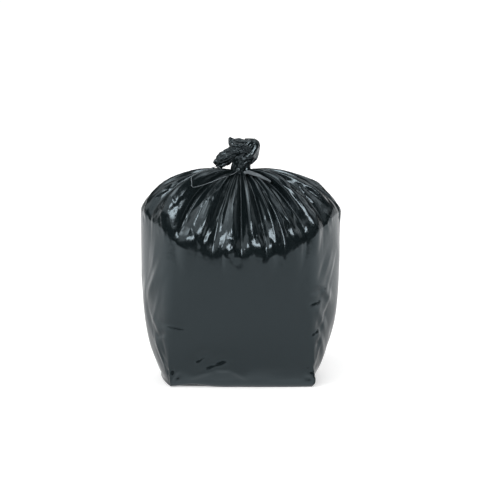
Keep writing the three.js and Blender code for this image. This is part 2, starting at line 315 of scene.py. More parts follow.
# Each bundle's rows and columns, its ridges (how many wind round it, and their size as a share of its
# radius), its twist in radians, and how many coarse creases crumple it.
KNOT = {
    "knot_stem": (STEM, 80, 160, ((5, 0.2), (11, 0.08)), 1.6, 60),
    "knot_bar": (BAR, 70, 120, ((4, 0.32), (9, 0.1)), 0.8, 36),
    "knot_tail": (TAIL, 110, 152, ((4, 0.28), (9, 0.12)), 1.8, 66),
}
FRONT_TO_BACK = (0.0, 1.0, 0.0)
RIDGE_PHASES = (0, 6.28)  # radians
RIDGE_LEVEL = 0.6  # height in a ridge's round that counts as level
COARSE_CRUMPLES = {"lengths": (18, 60), "heights": (1.5, 4.5), "narrow": (3, 8), "wide": (5, 15)}
FINE_CRUMPLES = {"lengths": (8, 26), "heights": (0.5, 1.5), "narrow": (2, 4), "wide": (3, 8)}
FINE_PER_COARSE = 2
CRUMPLE_SLANT = 0.8
CRUMPLE_LIMIT = 6  # the coarse creases level off at this height
CURVE_STEPS = 60  # between two points of a route

# The loose edge of the sack's mouth, which comes out of the knot and goes back in, and the flap on the
# knot's other side: places like those of the thin folds.
LOOSE_EDGE = (
    (0.10, 1.0), (-0.05, 0.90), (-0.10, 0.81), (-0.10, 0.74), (-0.075, 0.68), (-0.03, 0.63),
    (0.02, 0.61), (0.06, 0.69), (0.16, 0.79), (0.26, 0.90), (0.38, 0.97),
)
LOOSE_EDGE_LIFT = 3.6
LOOSE_EDGE_WIDTH = 2.6
LOOSE_EDGE_ROWS = 160
LOOSE_EDGE_COLUMNS = 10
FLAP = ((0.48, 1.0), (0.70, 0.92), (0.83, 0.84), (0.91, 0.77), (0.96, 0.72))
FLAP_LIFT = 9
FLAP_WIDTHS = (7, 11, 13, 11, 5)
FLAP_THICKNESS = 2.4
FLAP_RIDGES = ((9, 0.3), (14, 0.2))
FLAP_FACE = (0.1, -0.74, 0.67)
FLAP_ROWS = 60
FLAP_COLUMNS = 60
ROUTE_EVENING = 9  # grid steps that smooth the crown under these two

# Materials. Places on the floor are in metres.
WHITE = (1, 1, 1, 1)
FILM_COLOR = (0.005, 0.008, 0.009)
PAINTED_EDGE_HIGHLIGHT_COLOR = (0.11, 0.125, 0.135)  # painted highlight: the thin edge and the flap, of the same black film, are painted paler for the light they catch
FILM_TINT = (0.77, 0.92, 1.0, 1)
FILM_IOR = 1.5
FILM_ROUGHNESS = (0.12, 0.22)
GRAIN_SCALE = 90
GRAIN_DETAIL = 4
GRAIN_STRENGTH = 0.15
GRAIN_DEPTH = 0.002
FLOOR_COLOR = (0.88, 0.88, 0.88, 1)
FLOOR_ROUGHNESS = 0.9
FLOOR_GLOW = 0.3  # added for the camera
FLOOR_GLOSS = 0.1  # added in reflections
FLOOR_SIDE_GLOSS = 0.69  # added to that at the sides, growing between these distances
FLOOR_SIDES = (0.5, 1.8)
FLOOR_NEAR_GLOSS = 0.7  # and in front of the foot, growing between these places
FLOOR_NEAR = (-0.22, -0.15)
FLOOR_NEAR_HALF_WIDTH = 0.22
FLOOR_SIZE = 40.0
FLOOR_FRONT = 2.4  # it ends here, so the film reflects a dark room past it

# Light, by direction. Angles are in degrees.
BAND_TOPS = (-30, 14)  # of the white band, in front and behind
BAND_TURN = (-0.1, 0.25)  # where it climbs from one to the other, from front to back
BAND_EDGE = 0.03
AMBIENT = 0.04
# Azimuth and elevation of each soft box, half its width and height, and its strength.
SOFT_BOXES = (
    (-5, 28, 19, 5.5, 14.5),
    (-70, 38, 34, 22, 1.3),
    (-48, 52, 12, 9, 3.5),
    (75, 42, 24, 20, 0.5),
    (0, 76, 50, 7, 1.7),
    (90, 72, 16, 10, 1.2),
    (165, 62, 45, 10, 2.0),
)
SOFT_EDGE = (0.85, 1.1)  # shares of a box's size between which it fades out
LEAST_AHEAD = 0.001  # for directions away from a box

CAMERA_TARGET = (0.030, 0.0, 0.418)
CAMERA_ELEVATION = 8
CAMERA_DISTANCE = 2.8
CAMERA_LENS = 65
CAMERA_SENSOR = 36

random = np.random.default_rng(SEED)


def within(limits):
    return random.uniform(*limits)


def either_way(limit):
    return random.uniform(-limit, limit)


def either_sign():
    return random.choice((1, -1))


def mix(a, b, share):
    return a + (b - a) * share


def ramp(value, low, high):
    """Smooth step from 0 at low to 1 at high."""
    share = np.clip((value - low) / (high - low), 0, 1)
    return share * share * (3 - 2 * share)


def bow(q):
    """An even arch across a panel, from 0 at its folds to 1 at its middle."""
    return 1 - (2 * q - 1) ** 2


def grown(h, fullness):
    """How the walls stand out from the foot to the shoulder."""
    return 1 - (1 - h) ** fullness


def evened(values, width, axis):
    """Values averaged with their neighbours, as if the grid closed on itself."""
    total = np.zeros_like(values)
    for shift in range(-(width // 2), width // 2 + 1):
        total += np.roll(values, shift, axis=axis)
    return total / width


def evened_both_ways(values, width):
    return evened(evened(values, width, 0), width, 1)


# The sack's target form, before its film creases. Panels follow each other round the sack: side is where a
# panel lies, -1 for front or left, and way is the direction that its columns run in.

PANELS = (
    {"name": "front", "gusset": False, "side": -1, "way": 1, "columns": PANEL_COLUMNS},
    {"name": "right", "gusset": True, "side": 1, "way": 1, "columns": GUSSET_COLUMNS},
    {"name": "back", "gusset": False, "side": 1, "way": -1, "columns": PANEL_COLUMNS},
    {"name": "left", "gusset": True, "side": -1, "way": -1, "columns": GUSSET_COLUMNS},
)
PANEL_ENDS = np.cumsum([panel["columns"] for panel in PANELS])


def shares_across(panel):
    """Share across its panel of each of the panel's columns."""
    return np.arange(panel["columns"]) / panel["columns"]


def gusset_profile(side, q):
    """How far a gusset stands out across its depth, from 0 at its folds to 1 at its middle."""
    def drop(share):
        return np.hypot(share, RIDGE_ROUNDING) - RIDGE_ROUNDING

    ridge = 1 - drop(2 * q - 1) / drop(1)
    return mix(ridge, bow(q), LEFT_ROUNDNESS if side < 0 else RIGHT_ROUNDNESS)


def panel_plan(panel, q, h):
    """Plan position of a panel at share q across it and share h up the wall."""
    lean = grown(h, PANEL_FULLNESS)
    half_depth = mix(FOOT_DEPTH, FOLD_DEPTH, lean) / 2
    if panel["gusset"]:
        y = panel["way"] * (2 * q - 1) * half_depth
        foot_bulge = LEFT_FOOT_BULGE if panel["side"] < 0 else RIGHT_FOOT_BULGE
        bulge = mix(foot_bulge, GUSSET_BULGE, grown(h, GUSSET_FULLNESS)) * gusset_profile(panel["side"], q)
        x = panel["side"] * (PANEL_WIDTH / 2 + bulge)
    else:
        y = panel["side"] * (half_depth + mix(FOOT_CROWN, PANEL_CROWN, lean) * bow(q))
        x = panel["way"] * (q - 0.5) * PANEL_WIDTH
    return x - PANEL_SHIFT * np.clip(y, -half_depth, half_depth) / FOLD_DEPTH, y


def wall_plan(h):
    """Plan positions of a whole ring at share h up the wall: an array of x and one of y."""
    parts = [panel_plan(panel, shares_across(panel), h) for panel in PANELS]
    rounding = ramp(h, *FOLD_EVENING_RISE)
    plan = []
    for values in zip(*parts):
        sharp = np.concatenate(values)
        plan.append(mix(sharp, evened(sharp, FOLD_EVENING, 0), rounding))
    return plan


def shoulder_forms():
    """Height of the wall's top in each column, how steep the crown is above it, and how far it stays high.

    The steepness is 0 where the crown is a dome, over the gussets, and 1 where it is a straight slope.
    """
    heights = []
    steepness = []
    reaches = []
    for panel in PANELS:
        q = shares_across(panel)
        if panel["gusset"]:
            heights.append(mix(FOLD_SHOULDER, GUSSET_SHOULDER, bow(q)))
            steepness.append(0 * q)
            rightward = (panel["side"] + 1) / 2
        else:
            level = 1 - np.abs(2 * q - 1) ** SHOULDER_FLATNESS
            heights.append(mix(FOLD_SHOULDER, PANEL_SHOULDER, level))
            steepness.append(bow(q))
            rightward = q if panel["way"] > 0 else 1 - q
        reach = mix(LEFT_CROWN_REACH, RIGHT_CROWN_REACH, rightward)
        reaches.append(mix(reach, SLOPE_REACH, steepness[-1]))
    rounded = evened(np.concatenate(heights), SHOULDER_EVENING, 0)
    return rounded, np.concatenate(steepness), np.concatenate(reaches)


def ring(x, y, z):
    return np.stack([x, y, np.broadcast_to(z, x.shape)], axis=-1)


def pulled_in(x, y, inset):
    """Plan positions moved towards the sack's axis."""
    radius = np.hypot(x, y)
    share = (radius - inset) / radius
    return x * share, y * share


def crown_ring(x, y, shoulder, steepness, reach, t):
    """The ring at share t of the way from the shoulder to the neck: a cubic curve above each column."""
    radius = np.hypot(x, y)
    run = radius - NECK_RADIUS
    a, b, c, d = (1 - t) ** 3, 3 * t * (1 - t) ** 2, 3 * t * t * (1 - t), t ** 3
    lift = NECK_HEIGHT + run * mix(CROWN_LIFT, SLOPE_LIFT, steepness)
    rise = mix(shoulder, NECK_HEIGHT, mix(SHOULDER_ROUNDING, SLOPE_ROUNDING, steepness))
    out = radius * (a + b) + (NECK_RADIUS + run * reach) * c + NECK_RADIUS * d
    z = shoulder * a + rise * b + lift * c + NECK_HEIGHT * d
    return ring(x * out / radius, y * out / radius, z)


def hem_rings():
    """The base's edge, the tucked underside and the hem, whose left ear hangs to the floor."""
    x, y = wall_plan(0.0)
    from_front = y + FOOT_DEPTH / 2
    ear = np.exp(-np.hypot(np.abs(x) - PANEL_WIDTH / 2, from_front) / EAR_SPREAD)
    out_x = x + np.sign(x) * np.where(x < 0, LEFT_EAR, RIGHT_EAR) * ear
    out_y = y - EAR_FORWARD * ear
    front = np.exp(-np.abs(from_front) / HEM_FRONT)
    wave = sum(height * np.sin(x / length + phase) for height, length, phase in HEM_WAVES)
    wave += HEM_LIFT * front * ramp(x, *HEM_LIFT_RISE)
    wave -= HEM_HEIGHT * np.where(x < 0, ear, 0)
    lift = BASE_LIFT * front * np.exp(-((x - BASE_LIFT_PLACE) / BASE_LIFT_SPREAD) ** 2)
    rings = [
        ring(*pulled_in(x, y, BASE_INSET), lift),
        ring(*pulled_in(x, y, UNDERSIDE_INSET), UNDERSIDE_HEIGHT + lift),
    ]
    for drawn, rise, waviness in HEM_RINGS:
        z = HEM_HEIGHT + rise + waviness * wave
        rings.append(ring(mix(x, out_x, drawn), mix(y, out_y, drawn), z))
    return rings


def target_rings():
    """Every ring of the sack from the base to the collar."""
    shoulder, steepness, reach = shoulder_forms()
    rings = hem_rings()
    foot = rings[-1][:, 2]
    base_x, base_y = wall_plan(0.0)
    ear_x = rings[EAR_ROW][:, 0] - base_x
    ear_y = rings[EAR_ROW][:, 1] - base_y
    for i in range(1, WALL_ROWS):
        h = (i / WALL_ROWS) ** WALL_ROW_GROWTH
        x, y = wall_plan(h)
        fade = math.exp(-h * EAR_FADE)
        rings.append(ring(x + ear_x * fade, y + ear_y * fade, mix(foot, shoulder, h)))
    x, y = wall_plan(1.0)
    for i in range(CROWN_ROWS + 1):
        rings.append(crown_ring(x, y, shoulder, steepness, reach, i / CROWN_ROWS))
    neck = rings[-1]
    for i in range(1, COLLAR_ROWS + 1):
        share = i / COLLAR_ROWS
        taper = mix(1, COLLAR_TAPER, share)
        rings.append(neck * (taper, taper, 1) + (0, 0, COLLAR_HEIGHT * share))
    return np.array(rings)


# Folds of the film, each as its height at every grid point.

class Places(NamedTuple):
    """Places of the grid's points on the film: how far round the sack, how far up, and the girth."""

    around: np.ndarray
    up: np.ndarray
    girth: float


def link_lengths(points, rise, reach):
    """Distance from each grid point to the one some rows up and some columns across."""
    return np.linalg.norm(np.roll(points, -reach, axis=1)[rise:] - points[:len(points) - rise], axis=-1)


def surface_normals(points):
    along = np.gradient(points, axis=0)
    around = np.roll(points, -1, axis=1) - np.roll(points, 1, axis=1)
    normals = np.cross(around, along)
    return normals / np.maximum(np.linalg.norm(normals, axis=-1, keepdims=True), TINY)


def flat_places(points, level):
    """Places on the film laid flat, measured round the row called level and up from it."""
    round_level = np.concatenate([[0], np.cumsum(link_lengths(points, 0, 1)[level])])
    up = np.concatenate([np.zeros_like(points[:1, :, 0]), np.cumsum(link_lengths(points, 1, 0), axis=0)])
    return Places(np.broadcast_to(round_level[:-1], points.shape[:2]), up - up[level], round_level[-1])


def upright_places(points):
    """Places round the foot of the sack and above the floor."""
    flat = flat_places(points, HEM_ROWS)
    return Places(flat.around, points[..., 2], flat.girth)


def around_at(places, share):
    """Place round the sack of a share across the front panel, or past it on a gusset."""
    front_end, right_end, back_end, _ = PANEL_ENDS
    around = places.around[0]
    front = around[front_end]
    right = around[right_end] - front
    left = places.girth - around[back_end]
    return np.interp(share, (-1, 0, 1, 2), (-left, 0, front, front + right))


def from_panel_middle(x):
    """Place round the sack of a distance across from the front panel's middle."""
    return PANEL_WIDTH / 2 + x


def sideways(places, start):
    """Shorter way round the sack from a place to each grid point."""
    return (places.around - start + places.girth / 2) % places.girth - places.girth / 2


def slope_length(places):
    """Mean length of film from the shoulder to the neck."""
    return float(np.mean(places.up[NECK_ROW]))


def way_up():
    """Share of the way from the shoulder to the neck, for each row."""
    return ((np.arange(NECK_ROW + 1 + COLLAR_ROWS) - CROWN_START) / CROWN_ROWS)[:, None]


def crease(places, foot, head, height, widths, fades):
    """Height of one crease between two places on the film: a ridge, or a valley if height is negative.

    widths are those of its two flat flanks, and fades the shares of its length over which its ends rise.
    """
    run = head[0] - foot[0]
    rise = head[1] - foot[1]
    length = math.hypot(run, rise)
    way = (run / length, rise / length)
    aside = sideways(places, foot[0])
    above = places.up - foot[1]
    share = (aside * way[0] + above * way[1]) / length
    off = aside * way[1] - above * way[0]
    flank = np.maximum(0, 1 - np.where(off < 0, -off / widths[0], off / widths[1]))
    return height * flank * ramp(share, 0, fades[0]) * ramp(1 - share, 0, fades[1])


def listed_creases(places, creases, across, fade, unit=1):
    """Creases from a list. across places their first numbers, and unit scales their second ones."""
    for (start, low), (end, high), height, widths in creases:
        foot = (across(start), low * unit)
        head = (across(end), high * unit)
        yield crease(places, foot, head, height, widths, (fade, fade))


def slanting(places, middle, length, slant, height, widths):
    """A crease with its middle at a place on the film, which fades out at both ends."""
    foot = (middle[0] - slant * length / 2, middle[1] - length / 2)
    head = (middle[0] + slant * length / 2, middle[1] + length / 2)
    return crease(places, foot, head, height, widths, SLANTING_FADES)


def chance_crease(places, kind, start, end):
    """One crease of a kind, with its middle between two places round the sack."""
    height = either_sign() * within(kind["heights"])
    widths = within(kind["narrow"]), within(kind["wide"])
    middle = within((start, end)), within(kind["up"])
    return slanting(places, middle, within(kind["lengths"]), either_way(kind["slant"]), height, widths)


def pleats():
    """Height of the crown's main ridges and valleys, with flat flanks between them."""
    reliefs = []
    for k, panel in enumerate(PANELS):
        following = PANELS[(k + 1) % len(PANELS)]["name"]
        shares, heights = zip(*PLEATS[panel["name"]], (1, PLEATS[following][0][1]))
        reliefs.append(np.interp(shares_across(panel), shares, heights))
    return np.concatenate(reliefs) * ramp(way_up(), PLEAT_START, PLEAT_START + PLEAT_FADE)


def lobes():
    """Height of the broad lobes at the shoulder, from each valley of the pleats to the next."""
    place = np.concatenate([k + shares_across(panel) for k, panel in enumerate(PANELS)])
    valleys = []
    for k, panel in enumerate(PANELS):
        valleys += [k + share for share, height in PLEATS[panel["name"]] if height < 0]
    count = len(valleys)
    edges = np.array([valleys[-1] - len(PANELS), *valleys, valleys[0] + len(PANELS)])
    phase = np.interp(place, edges, np.arange(count + 2))
    lobe = np.floor(phase).astype(int) % count
    height = random.uniform(*LOBE_HEIGHTS, count)[lobe]
    start = random.uniform(*LOBE_STARTS, count)[lobe]
    up = way_up()
    depth = LOBE_DEPTH * ramp(up, start, start + LOBE_RISE) * mix(1, LOBE_TOP, ramp(up, *LOBE_FADE))
    return depth * height * (np.sqrt(np.abs(np.sin(np.pi * phase))) - LOBE_LEVEL)


def long_folds(places, slope):
    """The crown's long folds, which run in on the neck."""
    for start, end, low, height, widths in LONG_FOLDS:
        foot = (around_at(places, start), low * slope)
        head = (around_at(places, end), NECK_OVERRUN * slope)
        yield crease(places, foot, head, height, widths, LONG_FOLD_FADES)


def pillows(places, slope):
    """Smooth swells along the shoulder."""
    for share, rise, half_width, tapers, height in PILLOWS:
        aside = sideways(places, around_at(places, share))
        above = places.up - rise * slope
        far = (aside / half_width) ** 2 + (above / np.where(above < 0, *tapers)) ** 2
        yield height * np.maximum(0, 1 - far) ** PILLOW_POWER


def gathers(places, slope):
    """Smaller creases that run up to the neck, from the shoulder or from half way."""
    for i in range(GATHERS["count"]):
        around = places.girth * (i + either_way(GATHERS["unevenness"])) / GATHERS["count"]
        foot = (around + either_way(GATHERS["drift"]), slope * random.choice(GATHERS["starts"]))
        head = (around, slope * NECK_OVERRUN)
        height = random.choice(GATHERS["signs"]) * within(GATHERS["heights"])
        widths = (within(GATHERS["narrow"]), within(GATHERS["wide"]))[::either_sign()]
        yield crease(places, foot, head, height, widths, GATHERS["fades"])


def buckles(places, slope):
    """Short creases across the crown, where the gathers pull at an angle."""
    for _ in range(BUCKLES["count"]):
        length = within(BUCKLES["lengths"])
        height = either_sign() * within(BUCKLES["heights"]) * length
        widths = within(BUCKLES["narrow"]), within(BUCKLES["wide"])
        middle = within((0, places.girth)), within((BUCKLES["lowest"], slope * BUCKLES["highest"]))
        yield slanting(places, middle, length, either_way(BUCKLES["slant"]), height, widths)


def crinkles(places):
    """Fine upright creases along the shoulder, which break up its highlights."""
    for _ in range(CRINKLES["count"]):
        yield chance_crease(places, CRINKLES, 0, places.girth)


def corner_crinkles(places):
    """Small creases at the foot of the two front folds."""
    spread = CORNER_CRINKLES["spread"]
    for i in range(CORNER_CRINKLES["count"]):
        corner = around_at(places, i % 2)
        yield chance_crease(places, CORNER_CRINKLES, corner - spread, corner + spread)


def wall_wrinkles(places, start, end, count, greatest):
    """Slack wrinkles of a wall, between two places round the sack."""
    for _ in range(count):
        widths = within(WRINKLES["narrow"]), within(WRINKLES["wide"])
        height = either_sign() * within(WRINKLES["heights"]) * greatest
        middle = within((start, end)), within(WRINKLES["up"])
        length = within(WRINKLES["lengths"])
        yield slanting(places, middle, length, either_way(WRINKLES["slant"]), height, widths)


def folds(points):
    """Height of the folds that the film settles into, over the target form."""
    places = flat_places(points, CROWN_START)
    slope = slope_length(places)
    crown = PLEAT_SHARE * pleats() + lobes()
    crown += sum(long_folds(places, slope)) + sum(pillows(places, slope))
    crown += sum(gathers(places, slope)) + sum(buckles(places, slope))
    limit = PLEAT_PINCH * np.hypot(points[..., 0], points[..., 1])
    height = limit * np.tanh(crown / limit)
    upright = upright_places(points)
    around = np.append(upright.around[0], upright.girth)[[0, *PANEL_ENDS]]
    for panel, start, end in zip(PANELS, around[:-1], around[1:]):
        wrinkles = GUSSET_WRINKLES if panel["gusset"] else PANEL_WRINKLES
        height += sum(wall_wrinkles(upright, start, end, *wrinkles))
    height += sum(listed_creases(upright, GUSSET_CREASES, partial(around_at, upright), GUSSET_CREASE_FADE))
    return height * ramp(points[..., 2], *FOLDS_RISE)


def fine_creases(points):
    """Height of the sharp creases that are pressed into the settled film."""
    places = flat_places(points, CROWN_START)
    slope = slope_length(places)
    height = sum(crinkles(places))
    across = partial(around_at, places)
    height += sum(listed_creases(places, CROWN_CREASES, across, CROWN_CREASE_FADE, slope))
    upright = upright_places(points)
    across = partial(around_at, upright)
    pressed = sum(corner_crinkles(upright))
    pressed += sum(listed_creases(upright, GUSSET_LINES, across, GUSSET_LINE_FADE))
    pressed += sum(listed_creases(upright, FRONT_CREASES, from_panel_middle, FRONT_CREASE_FADE))
    return height + evened_both_ways(pressed, PRESS_EVENING)


# Relaxing a grid of film that can bend but hardly stretch.

def edge_groups(shape, rise, reach):
    """Pairs of grid points rise rows and reach columns apart, in two groups.

    A group uses each point at most once, where the number of columns is a multiple of four.
    """
    rows, columns = shape
    index = np.arange(rows * columns).reshape(shape)
    low = index[:rows - rise]
    high = np.roll(index, -reach, axis=1)[rise:]
    row, column = np.divmod(low, columns)
    parity = (row // rise if rise else column // reach) % 2
    return [(low[parity == k], high[parity == k], parity == k) for k in (0, 1)]


def relax(points, rests, free, rounds):
    """Settle a grid of film onto the rest lengths of its links, near where it was and above the floor.

    The grid is closed round its columns. free is 0 for a point that is held, and 1 for the others.
    """
    links = [(rise, reach, rest, stiffness, False) for (rise, reach, stiffness), rest in zip(LINKS, rests)]
    rest_around, rest_along = rests[:2]
    wide_around = BEND_SPAN * (rest_around + np.roll(rest_around, -1, axis=1))
    wide_along = BEND_SPAN * (rest_along[:-1] + rest_along[1:])
    links += [(0, 2, wide_around, BEND_STIFFNESS, True), (2, 0, wide_along, BEND_STIFFNESS, True)]
    edges = []
    for rise, reach, rest, stiffness, push_only in links:
        for a, b, chosen in edge_groups(points.shape[:2], rise, reach):
            edges.append((a, b, rest[chosen], stiffness, push_only))
    flat = points.reshape(-1, 3).copy()
    home = flat.copy()
    loose = free.reshape(-1)
    pull_home = (loose * HOLD)[:, None]
    for _ in range(rounds):
        for a, b, rest, stiffness, push_only in edges:
            step = flat[b] - flat[a]
            length = np.sqrt(np.einsum("ij,ij->i", step, step)) + TINY
            error = length - rest
            if push_only:
                error = np.minimum(error, 0)
            weight = loose[a] + loose[b] + TINY
            step *= (stiffness * error / (length * weight))[:, None]
            flat[a] += step * loose[a][:, None]
            flat[b] -= step * loose[b][:, None]
        flat += pull_home * (home - flat)
        np.maximum(flat[:, 2], 0, out=flat[:, 2])
    return flat.reshape(points.shape)


def settled(form, height, held_rows, rounds):
    """Film folded to a height over a form, then relaxed. Its first and last rows are held."""
    start = form + surface_normals(form) * height[..., None]
    rests = []
    for rise, reach, _ in LINKS:
        flat = link_lengths(form, rise, reach)
        slack = link_lengths(start, rise, reach) / flat
        rests.append(flat * evened(slack, SLACK_SPAN, 1 if reach else 0))
    free = np.ones(form.shape[:2])
    free[:held_rows[0]] = 0
    free[len(form) - held_rows[1]:] = 0
    return relax(start, rests, free, rounds)


def film_grid():
    """The sack's film, settled into creases."""
    target = target_rings()
    film = settled(target, folds(target), (HEM_ROWS, COLLAR_ROWS + 1), FILM_ROUNDS)
    return film + surface_normals(film) * fine_creases(target)[..., None]


# The knot, the loose edge and the flap.

def bundle(route, widths, thickness, columns, ridges, twist, face=FRONT_TO_BACK):
    """Rings of bunched film along a route: ellipses square to it, with uneven folds that wind round it.

    face is the direction that the thickness is measured in.
    """
    along = np.gradient(route, axis=0)
    along /= np.linalg.norm(along, axis=1, keepdims=True)
    deep = np.array(face)
    wide = np.cross(deep, along)
    wide /= np.linalg.norm(wide, axis=1, keepdims=True)
    angle = 2 * np.pi * np.arange(columns) / columns
    turn = twist * np.linspace(0, 1, len(route))[:, None]
    spin = angle[None, :] + turn
    wave = np.zeros_like(angle)
    for count, size in ridges:
        wave += size * (np.abs(np.sin(count * angle / 2 + within(RIDGE_PHASES))) - RIDGE_LEVEL)
    ridge = 1 + wave[None, :]
    across = (widths[:, None] / 2) * ridge * np.cos(spin)
    through = (thickness[:, None] / 2) * ridge * np.sin(spin)
    return route[:, None] + across[..., None] * wide[:, None] + through[..., None] * deep


def scattered(rings, count, kind):
    """Creases of a kind all over a bundle, which slant to either side of its length."""
    places = flat_places(rings, len(rings) // 2)
    span = float(np.mean(places.up[-1] - places.up[0]))
    for _ in range(count):
        middle = within((0, places.girth)), either_way(0.5) * span
        height = either_sign() * within(kind["heights"])
        length = within(kind["lengths"])
        slant = either_way(CRUMPLE_SLANT)
        widths = within(kind["narrow"]), within(kind["wide"])
        yield slanting(places, middle, length, slant, height, widths)


def crumpled(rings, creases):
    """Film rings settled into creases, with finer ones pressed into them."""
    coarse = sum(scattered(rings, creases, COARSE_CRUMPLES))
    film = settled(rings, CRUMPLE_LIMIT * np.tanh(coarse / CRUMPLE_LIMIT), (1, 1), KNOT_ROUNDS)
    fine = sum(scattered(rings, FINE_PER_COARSE * creases, FINE_CRUMPLES))
    return film + surface_normals(film) * fine[..., None]


def smooth_route(points, count):
    """Evenly stepped points on a Catmull-Rom curve through the given ones."""
    points = np.array(points, float)
    padded = np.vstack([2 * points[0] - points[1], points, 2 * points[-1] - points[-2]])
    t = np.linspace(0, 1, CURVE_STEPS, endpoint=False)[:, None]
    fine = []
    for i in range(len(points) - 1):
        p0, p1, p2, p3 = padded[i:i + 4]
        fine.append(0.5 * (2 * p1 + (p2 - p0) * t + (2 * p0 - 5 * p1 + 4 * p2 - p3) * t ** 2
                           + (3 * p1 - p0 - 3 * p2 + p3) * t ** 3))
    fine = np.vstack(fine + [points[-1:]])
    distance = np.concatenate([[0], np.cumsum(np.linalg.norm(np.diff(fine, axis=0), axis=1))])
    even = np.linspace(0, distance[-1], count)
    return np.stack([np.interp(even, distance, fine[:, k]) for k in range(3)], axis=1)


def knot_grid(stations, rows, columns, ridges, twist, creases):
    """A crumpled bundle through stations."""
    stations = np.array(stations, float)
    route = smooth_route(stations[:, :3], rows)
    steps = np.linalg.norm(np.diff(stations[:, :3], axis=0), axis=1)
    reached = np.concatenate([[0], np.cumsum(steps)]) / steps.sum()
    t = np.linspace(0, 1, rows)
    width = np.interp(t, reached, stations[:, 3])
    thickness = np.interp(t, reached, stations[:, 4])
    return crumpled(bundle(route, width, thickness, columns, ridges, twist), creases)


def route_on_film(film, places, lift, count):
    """An even route over the settled crown through places, at a height above it."""
    share, up = np.array(places).T
    column = np.where(share < 0, share * GUSSET_COLUMNS, share * PANEL_COLUMNS).astype(int)
    row = (CROWN_START + up * CROWN_ROWS).astype(int)
    smooth = evened_both_ways(film, ROUTE_EVENING)
    return smooth_route(smooth[row, column] + lift * surface_normals(smooth)[row, column], count)


def loose_edge_grid(film):
    """The rolled edge of the mouth."""
    route = route_on_film(film, LOOSE_EDGE, LOOSE_EDGE_LIFT, LOOSE_EDGE_ROWS)
    size = np.full(LOOSE_EDGE_ROWS, LOOSE_EDGE_WIDTH)
    return bundle(route, size, size, LOOSE_EDGE_COLUMNS, (), 0)


def flap_grid(film):
    """The flat flap of film that the knot holds down."""
    route = route_on_film(film, FLAP, FLAP_LIFT, FLAP_ROWS)
    along = np.linspace(0, 1, FLAP_ROWS)
    widths = np.interp(along, np.linspace(0, 1, len(FLAP_WIDTHS)), FLAP_WIDTHS)
    thickness = np.full(FLAP_ROWS, FLAP_THICKNESS)
    return bundle(route, widths, thickness, FLAP_COLUMNS, FLAP_RIDGES, 0, FLAP_FACE)


# Meshes.

def grid_object(name, grid, material, shift):
    """A mesh from a grid that is closed round its columns, with both ends closed."""
    vertices = (grid + shift).reshape(-1, 3) * MM
    index = np.arange(len(vertices)).reshape(grid.shape[:2])
    following = np.roll(index, -1, axis=1)
    quads = np.stack([index[:-1], following[:-1], following[1:], index[1:]], axis=-1).reshape(-1, 4)
    ends = [index[0, ::-1].tolist(), index[-1].tolist()]
    mesh = bpy.data.meshes.new(name)
    mesh.from_pydata(vertices.tolist(), [], quads.tolist() + ends)
    mesh.polygons.foreach_set("use_smooth", np.ones(len(mesh.polygons), bool))
    mesh.materials.append(material)
    obj = bpy.data.objects.new(name, mesh)
    bpy.context.collection.objects.link(obj)
    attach(obj, "root")
    return obj


# Materials.

def new_material(name):
    material = bpy.data.materials.new(name)
    material.use_nodes = True
    return material, material.node_tree, material.node_tree.nodes["Principled BSDF"]


def set_inputs(node, values):
    for name, value in values.items():
        node.inputs[name].default_value = value


def math_node(tree, operation, *values):
    """An operation in a node tree, on numbers or outputs of other nodes."""
    node = tree.nodes.new("ShaderNodeMath")
    node.operation = operation
    for socket, value in zip(node.inputs, values):
        if isinstance(value, (int, float)):
            socket.default_value = value
        else:
            tree.links.new(value, socket)
    return node.outputs[0]


def map_range(tree, value, limits, results=(0, 1), curve="LINEAR"):
    """A value carried from one range to another, and kept inside it."""
    node = tree.nodes.new("ShaderNodeMapRange")
    node.interpolation_type = curve
    set_inputs(node, dict(zip(("From Min", "From Max", "To Min", "To Max"), (*limits, *results))))
    tree.links.new(value, node.inputs["Value"])
    return node.outputs["Result"]


def film_material(name, color):
    """Glossy film, with a fine grain in its roughness and its surface."""
    material, tree, shader = new_material(name)
    set_inputs(shader, {"Base Color": (*color, 1), "IOR": FILM_IOR, "Specular Tint": FILM_TINT})
    place = tree.nodes.new("ShaderNodeTexCoord")
    grain = tree.nodes.new("ShaderNodeTexNoise")
    set_inputs(grain, {"Scale": GRAIN_SCALE, "Detail": GRAIN_DETAIL})
    tree.links.new(place.outputs["Object"], grain.inputs["Vector"])
    roughness = map_range(tree, grain.outputs["Fac"], (0, 1), FILM_ROUGHNESS)
    tree.links.new(roughness, shader.inputs["Roughness"])
    bump = tree.nodes.new("ShaderNodeBump")
    set_inputs(bump, {"Strength": GRAIN_STRENGTH, "Distance": GRAIN_DEPTH})
    tree.links.new(grain.outputs["Fac"], bump.inputs["Height"])
    tree.links.new(bump.outputs["Normal"], shader.inputs["Normal"])
    return material


